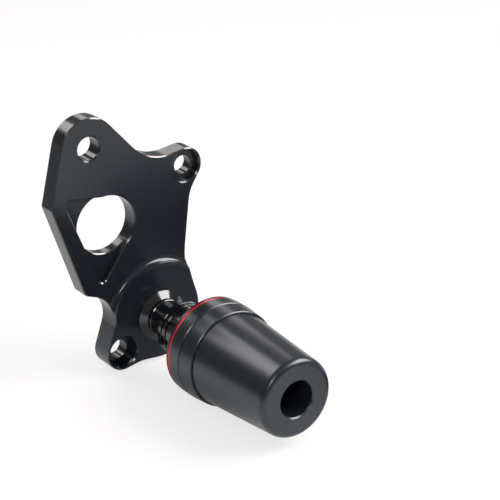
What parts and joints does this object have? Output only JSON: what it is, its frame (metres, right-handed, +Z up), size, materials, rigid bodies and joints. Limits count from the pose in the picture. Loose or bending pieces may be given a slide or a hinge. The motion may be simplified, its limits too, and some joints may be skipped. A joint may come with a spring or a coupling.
{
  "type": "motorcycle frame slider",
  "caption": "Motorcycle frame slider: milled plate bracket with lugs and a raised boss carrying a tapered crash puck on a turned stem with a red accent ring.",
  "frame": {"origin": "centre of the large frame hole on the back face of the plate", "axes": "+X to the right and +Z up in the plate as seen from outside the motorcycle, -Y out of the motorcycle along the slider's axis"},
  "size_m": [0.0815, 0.1187, 0.1282],
  "materials": {
    "plate": "black anodised, satin",
    "turned": "black anodised, glossy, turned",
    "red": "red anodised",
    "cap": "black, satin, turned",
    "rubber": "matt black",
    "puck": "black, satin, turned",
    "steel": "zinc plated",
    "bolt": "black oxide"
  },
  "bodies": {
    "root": {"bracket": "plate", "thread_insert": "steel", "stem": "turned", "hub": "turned", "back_plate": "cap", "red_ring": "red", "base_cap": "cap", "shim": "rubber", "puck": "puck", "sleeve": "steel", "plain_washer": "steel", "lock_washer": "steel", "main_bolt": "bolt"}
  },
  "joints": []
}
